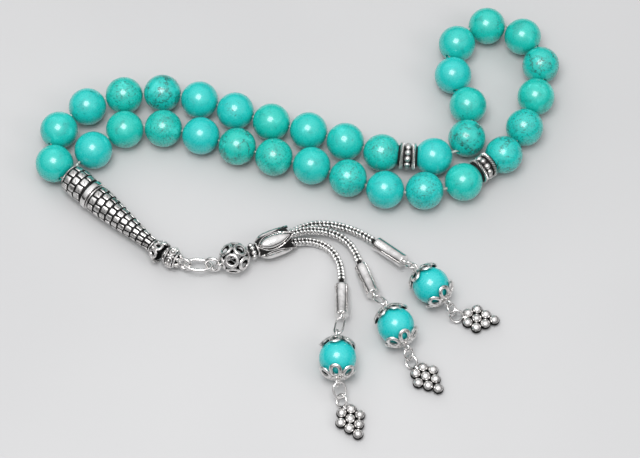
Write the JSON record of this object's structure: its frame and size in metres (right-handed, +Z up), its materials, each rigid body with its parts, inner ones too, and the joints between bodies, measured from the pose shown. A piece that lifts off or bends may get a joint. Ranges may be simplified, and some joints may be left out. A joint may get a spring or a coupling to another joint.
{
  "type": "misbaha prayer beads",
  "caption": "Misbaha strand of round turquoise beads on a string, with spacers, a silver imame and a tassel of woven chains ending in bead drops and grape charms.",
  "frame": {"origin": "centre of the bounding box's footprint, on the surface the strand lies on", "axes": "+Z up out of the surface, +X to the right across the strand, +Y away towards the upper loop of beads"},
  "size_m": [0.1395, 0.1256, 0.0103],
  "materials": {
    "turquoise": "polished stone, blue-green with darker veins",
    "silver": "polished silver wire and tube",
    "oxidised_silver": "granulated silver with blackened recesses",
    "cord": "twisted pale thread"
  },
  "bodies": {
    "imame_and_string": {"imame_body": "oxidised_silver", "string": "cord"},
    "finial": {"imame_finial": "oxidised_silver"},
    "link_oval": {"link_oval": "silver"},
    "link_round": {"link_round": "silver"},
    "tassel_cap": {"tassel_cap": "oxidised_silver"},
    "openwork_ball": {"openwork_ball": "silver"},
    "chain_1": {"chain_1": "silver", "end_tube_1": "silver"},
    "drop_1": {"drop_setting_1": "silver"},
    "drop_bead_1": {"drop_bead_1": "turquoise"},
    "jump_ring_1": {"jump_ring_1": "silver"},
    "grape_charm_1": {"grape_charm_1": "oxidised_silver"},
    "chain_2": {"chain_2": "silver", "end_tube_2": "silver"},
    "drop_2": {"drop_setting_2": "silver"},
    "drop_bead_2": {"drop_bead_2": "turquoise"},
    "jump_ring_2": {"jump_ring_2": "silver"},
    "grape_charm_2": {"grape_charm_2": "oxidised_silver"},
    "chain_3": {"chain_3": "silver", "end_tube_3": "silver"},
    "drop_3": {"drop_setting_3": "silver"},
    "drop_bead_3": {"drop_bead_3": "turquoise"},
    "jump_ring_3": {"jump_ring_3": "silver"},
    "grape_charm_3": {"grape_charm_3": "oxidised_silver"},
    "bead_01": {"bead_01": "turquoise"},
    "bead_02": {"bead_02": "turquoise"},
    "bead_03": {"bead_03": "turquoise"},
    "bead_04": {"bead_04": "turquoise"},
    "bead_05": {"bead_05": "turquoise"},
    "bead_06": {"bead_06": "turquoise"},
    "bead_07": {"bead_07": "turquoise"},
    "bead_08": {"bead_08": "turquoise"},
    "bead_09": {"bead_09": "turquoise"},
    "bead_10": {"bead_10": "turquoise"},
    "bead_11": {"bead_11": "turquoise"},
    "bead_12": {"bead_12": "turquoise"},
    "bead_13": {"bead_13": "turquoise"},
    "bead_14": {"bead_14": "turquoise"},
    "bead_15": {"bead_15": "turquoise"},
    "bead_16": {"bead_16": "turquoise"},
    "bead_17": {"bead_17": "turquoise"},
    "bead_18": {"bead_18": "turquoise"},
    "bead_19": {"bead_19": "turquoise"},
    "bead_20": {"bead_20": "turquoise"},
    "bead_21": {"bead_21": "turquoise"},
    "bead_22": {"bead_22": "turquoise"},
    "bead_23": {"bead_23": "turquoise"},
    "bead_24": {"bead_24": "turquoise"},
    "bead_25": {"bead_25": "turquoise"},
    "bead_26": {"bead_26": "turquoise"},
    "bead_27": {"bead_27": "turquoise"},
    "bead_28": {"bead_28": "turquoise"},
    "bead_29": {"bead_29": "turquoise"},
    "bead_30": {"bead_30": "turquoise"},
    "bead_31": {"bead_31": "turquoise"},
    "bead_32": {"bead_32": "turquoise"},
    "bead_33": {"bead_33": "turquoise"},
    "spacer_1": {"spacer_1": "oxidised_silver"},
    "spacer_2": {"spacer_2": "oxidised_silver"}
  },
  "joints": [
    {"name": "finial_swivel", "type": "hinge", "parent": "imame_and_string", "child": "finial", "pos_m": [-0.03632, -0.01148, 0.00318], "axis": [0, 0, -1], "range_deg": [-9, 9]},
    {"name": "link_oval_swing", "type": "hinge", "parent": "finial", "child": "link_oval", "pos_m": [-0.02979, -0.01495, 0.00292], "axis": [0, 0, 1], "range_deg": [-30, 6]},
    {"name": "link_round_swing", "type": "hinge", "parent": "link_oval", "child": "link_round", "pos_m": [-0.02353, -0.01541, 0.0028], "axis": [0, 0, -1], "range_deg": [-12, 12]},
    {"name": "tassel_cap_swing", "type": "hinge", "parent": "link_round", "child": "tassel_cap", "pos_m": [-0.02082, -0.01553, 0.00442], "axis": [0, 0, 1], "range_deg": [-12, 10]},
    {"name": "openwork_ball_spin", "type": "hinge", "parent": "tassel_cap", "child": "openwork_ball", "pos_m": [-0.017, -0.0138, 0.0042], "axis": [0.9094, 0.4125, -0.0523], "continuous": true},
    {"name": "chain_1_swing", "type": "hinge", "parent": "tassel_cap", "child": "chain_1", "pos_m": [-0.0031, -0.00895, 0.00275], "axis": [0, 0, 1], "range_deg": [-15, 2]},
    {"name": "drop_1_swing", "type": "hinge", "parent": "chain_1", "child": "drop_1", "pos_m": [0.0095, -0.03636, 0.00614], "axis": [0, 0, 1], "range_deg": [-18, 20]},
    {"name": "drop_bead_1_spin", "type": "hinge", "parent": "drop_1", "child": "drop_bead_1", "pos_m": [0.0095, -0.0427, 0.00525], "axis": [0, -0.9903, -0.1392], "continuous": true},
    {"name": "jump_ring_1_swing", "type": "hinge", "parent": "drop_1", "child": "jump_ring_1", "pos_m": [0.0095, -0.04904, 0.00436], "axis": [0, 0, 1], "range_deg": [-20, 16]},
    {"name": "grape_charm_1_swing", "type": "hinge", "parent": "jump_ring_1", "child": "grape_charm_1", "pos_m": [0.01039, -0.05223, 0.00198], "axis": [0, 0, 1], "range_deg": [-17, 8]},
    {"name": "chain_2_swing", "type": "hinge", "parent": "tassel_cap", "child": "chain_2", "pos_m": [-0.0035, -0.0077, 0.00495], "axis": [0, 0, 1], "range_deg": [-3, 3]},
    {"name": "drop_2_swing", "type": "hinge", "parent": "chain_2", "child": "drop_2", "pos_m": [0.02152, -0.02796, 0.00614], "axis": [0, 0, 1], "range_deg": [-20, 20]},
    {"name": "drop_bead_2_spin", "type": "hinge", "parent": "drop_2", "child": "drop_bead_2", "pos_m": [0.0242, -0.0337, 0.00525], "axis": [0.4185, -0.8975, -0.1392], "continuous": true},
    {"name": "jump_ring_2_swing", "type": "hinge", "parent": "drop_2", "child": "jump_ring_2", "pos_m": [0.02688, -0.03944, 0.00436], "axis": [0, 0, 1], "range_deg": [-20, 20]},
    {"name": "grape_charm_2_swing", "type": "hinge", "parent": "jump_ring_2", "child": "grape_charm_2", "pos_m": [0.0279, -0.04166, 0.00215], "axis": [0, 0, 1], "range_deg": [-20, 20]},
    {"name": "chain_3_swing", "type": "hinge", "parent": "tassel_cap", "child": "chain_3", "pos_m": [-0.0042, -0.0065, 0.00275], "axis": [0, 0, 1], "range_deg": [-2, 8]},
    {"name": "drop_3_swing", "type": "hinge", "parent": "chain_3", "child": "drop_3", "pos_m": [0.02916, -0.01759, 0.00614], "axis": [0, 0, 1], "range_deg": [-20, 15]},
    {"name": "drop_bead_3_spin", "type": "hinge", "parent": "drop_3", "child": "drop_bead_3", "pos_m": [0.0334, -0.0223, 0.00525], "axis": [0.6626, -0.7359, -0.1392], "continuous": true},
    {"name": "jump_ring_3_swing", "type": "hinge", "parent": "drop_3", "child": "jump_ring_3", "pos_m": [0.03764, -0.02701, 0.00436], "axis": [0, 0, 1], "range_deg": [-20, 20]},
    {"name": "grape_charm_3_swing", "type": "hinge", "parent": "jump_ring_3", "child": "grape_charm_3", "pos_m": [0.03947, -0.02901, 0.00221], "axis": [0, 0, 1], "range_deg": [-20, 17]},
    {"name": "bead_01_spin", "type": "hinge", "parent": "imame_and_string", "child": "bead_01", "pos_m": [-0.06503, 0.01392, 0.005], "axis": [-0.4015, 0.9159, 0], "continuous": true},
    {"name": "bead_02_spin", "type": "hinge", "parent": "imame_and_string", "child": "bead_02", "pos_m": [-0.06448, 0.02421, 0.005], "axis": [0.3983, 0.9173, 0], "continuous": true},
    {"name": "bead_03_spin", "type": "hinge", "parent": "imame_and_string", "child": "bead_03", "pos_m": [-0.05733, 0.03164, 0.005], "axis": [0.8375, 0.5464, 0], "continuous": true},
    {"name": "bead_04_spin", "type": "hinge", "parent": "imame_and_string", "child": "bead_04", "pos_m": [-0.04765, 0.03519, 0.005], "axis": [0.9779, 0.2091, 0], "continuous": true},
    {"name": "bead_05_spin", "type": "hinge", "parent": "imame_and_string", "child": "bead_05", "pos_m": [-0.03737, 0.03591, 0.005], "axis": [0.9976, -0.0689, 0], "continuous": true},
    {"name": "bead_06_spin", "type": "hinge", "parent": "imame_and_string", "child": "bead_06", "pos_m": [-0.02729, 0.03378, 0.005], "axis": [0.9616, -0.2743, 0], "continuous": true},
    {"name": "bead_07_spin", "type": "hinge", "parent": "imame_and_string", "child": "bead_07", "pos_m": [-0.0176, 0.03027, 0.005], "axis": [0.9404, -0.34, 0], "continuous": true},
    {"name": "bead_08_spin", "type": "hinge", "parent": "imame_and_string", "child": "bead_08", "pos_m": [-0.00791, 0.02678, 0.005], "axis": [0.9529, -0.3032, 0], "continuous": true},
    {"name": "bead_09_spin", "type": "hinge", "parent": "imame_and_string", "child": "bead_09", "pos_m": [0.00203, 0.02403, 0.005], "axis": [0.9555, -0.2949, 0], "continuous": true},
    {"name": "bead_10_spin", "type": "hinge", "parent": "imame_and_string", "child": "bead_10", "pos_m": [0.01179, 0.0207, 0.005], "axis": [0.944, -0.33, 0], "continuous": true},
    {"name": "bead_11_spin", "type": "hinge", "parent": "imame_and_string", "child": "bead_11", "pos_m": [0.02149, 0.01723, 0.005], "axis": [0.9691, -0.2465, 0], "continuous": true},
    {"name": "bead_12_spin", "type": "hinge", "parent": "imame_and_string", "child": "bead_12", "pos_m": [0.03514, 0.01604, 0.005], "axis": [0.9632, 0.2687, 0], "continuous": true},
    {"name": "bead_13_spin", "type": "hinge", "parent": "imame_and_string", "child": "bead_13", "pos_m": [0.04414, 0.02173, 0.005], "axis": [0.5104, 0.8599, 0], "continuous": true},
    {"name": "bead_14_spin", "type": "hinge", "parent": "imame_and_string", "child": "bead_14", "pos_m": [0.0448, 0.03201, 0.005], "axis": [-0.1513, 0.9885, 0], "continuous": true},
    {"name": "bead_15_spin", "type": "hinge", "parent": "imame_and_string", "child": "bead_15", "pos_m": [0.0411, 0.04163, 0.005], "axis": [-0.1149, 0.9934, 0], "continuous": true},
    {"name": "bead_16_spin", "type": "hinge", "parent": "imame_and_string", "child": "bead_16", "pos_m": [0.0425, 0.05184, 0.005], "axis": [0.5188, 0.8549, 0], "continuous": true},
    {"name": "bead_17_spin", "type": "hinge", "parent": "imame_and_string", "child": "bead_17", "pos_m": [0.05091, 0.0578, 0.005], "axis": [0.9913, 0.1313, 0], "continuous": true},
    {"name": "bead_18_spin", "type": "hinge", "parent": "imame_and_string", "child": "bead_18", "pos_m": [0.06059, 0.05423, 0.005], "axis": [0.7383, -0.6744, 0], "continuous": true},
    {"name": "bead_19_spin", "type": "hinge", "parent": "imame_and_string", "child": "bead_19", "pos_m": [0.06501, 0.04493, 0.005], "axis": [0.1327, -0.9912, 0], "continuous": true},
    {"name": "bead_20_spin", "type": "hinge", "parent": "imame_and_string", "child": "bead_20", "pos_m": [0.06319, 0.03477, 0.005], "axis": [-0.2613, -0.9653, 0], "continuous": true},
    {"name": "bead_21_spin", "type": "hinge", "parent": "imame_and_string", "child": "bead_21", "pos_m": [0.05965, 0.02509, 0.005], "axis": [-0.4623, -0.8867, 0], "continuous": true},
    {"name": "bead_22_spin", "type": "hinge", "parent": "imame_and_string", "child": "bead_22", "pos_m": [0.05374, 0.01664, 0.005], "axis": [-0.6998, -0.7143, 0], "continuous": true},
    {"name": "bead_23_spin", "type": "hinge", "parent": "imame_and_string", "child": "bead_23", "pos_m": [0.04281, 0.00831, 0.005], "axis": [-0.8952, -0.4457, 0], "continuous": true},
    {"name": "bead_24_spin", "type": "hinge", "parent": "imame_and_string", "child": "bead_24", "pos_m": [0.03244, 0.00564, 0.005], "axis": [-0.9939, -0.1103, 0], "continuous": true},
    {"name": "bead_25_spin", "type": "hinge", "parent": "imame_and_string", "child": "bead_25", "pos_m": [0.02214, 0.00596, 0.005], "axis": [-0.9822, 0.1877, 0], "continuous": true},
    {"name": "bead_26_spin", "type": "hinge", "parent": "imame_and_string", "child": "bead_26", "pos_m": [0.01244, 0.00947, 0.005], "axis": [-0.9354, 0.3536, 0], "continuous": true},
    {"name": "bead_27_spin", "type": "hinge", "parent": "imame_and_string", "child": "bead_27", "pos_m": [0.00286, 0.01325, 0.005], "axis": [-0.9497, 0.3132, 0], "continuous": true},
    {"name": "bead_28_spin", "type": "hinge", "parent": "imame_and_string", "child": "bead_28", "pos_m": [-0.0071, 0.01591, 0.005], "axis": [-0.9575, 0.2885, 0], "continuous": true},
    {"name": "bead_29_spin", "type": "hinge", "parent": "imame_and_string", "child": "bead_29", "pos_m": [-0.01687, 0.01919, 0.005], "axis": [-0.9474, 0.32, 0], "continuous": true},
    {"name": "bead_30_spin", "type": "hinge", "parent": "imame_and_string", "child": "bead_30", "pos_m": [-0.02663, 0.02251, 0.005], "axis": [-0.9622, 0.2724, 0], "continuous": true},
    {"name": "bead_31_spin", "type": "hinge", "parent": "imame_and_string", "child": "bead_31", "pos_m": [-0.03668, 0.0248, 0.005], "axis": [-0.9954, 0.096, 0], "continuous": true},
    {"name": "bead_32_spin", "type": "hinge", "parent": "imame_and_string", "child": "bead_32", "pos_m": [-0.04698, 0.02447, 0.005], "axis": [-0.9376, -0.3478, 0], "continuous": true},
    {"name": "bead_33_spin", "type": "hinge", "parent": "imame_and_string", "child": "bead_33", "pos_m": [-0.055, 0.018, 0.005], "axis": [-0.7027, -0.7114, 0], "continuous": true},
    {"name": "spacer_1_spin", "type": "hinge", "parent": "imame_and_string", "child": "spacer_1", "pos_m": [0.02828, 0.01617, 0.005], "axis": [0.9962, -0.0865, 0], "continuous": true},
    {"name": "spacer_2_spin", "type": "hinge", "parent": "imame_and_string", "child": "spacer_2", "pos_m": [0.04819, 0.01259, 0.005], "axis": [-0.7952, -0.6063, 0], "continuous": true}
  ]
}
